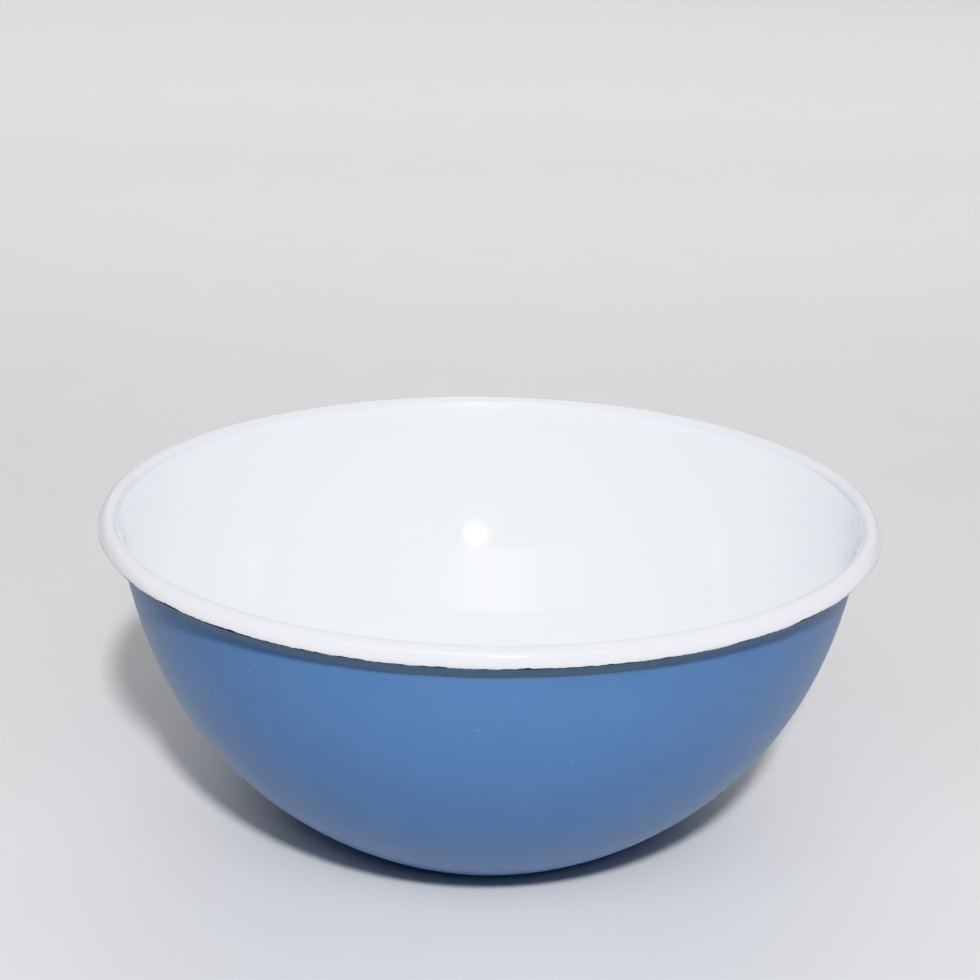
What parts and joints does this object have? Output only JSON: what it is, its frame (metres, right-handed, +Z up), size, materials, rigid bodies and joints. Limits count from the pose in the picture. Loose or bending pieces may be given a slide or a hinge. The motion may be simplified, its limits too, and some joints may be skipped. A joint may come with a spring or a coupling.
{
  "type": "salad bowl",
  "caption": "Deep round bowl with a curved wall, flat base and rolled rim, enamelled white inside and over the rim and blue outside, for salad and other food.",
  "frame": {"origin": "middle of the flat base, on the surface the bowl stands on", "axes": "+Z up along the bowl's axis, out of its mouth; X and Y level"},
  "size_m": [0.26, 0.26, 0.115],
  "materials": {
    "steel": "bare pressed sheet, inside the curl",
    "ground_enamel": "dark blue-grey ground enamel",
    "white_enamel": "glossy white enamel",
    "blue_enamel": "satin blue enamel"
  },
  "bodies": {
    "root": {"steel_body": "steel", "inner_ground_coat": "ground_enamel", "outer_ground_coat": "ground_enamel", "white_lining": "white_enamel", "white_rim": "white_enamel", "blue_jacket": "blue_enamel"}
  },
  "joints": []
}
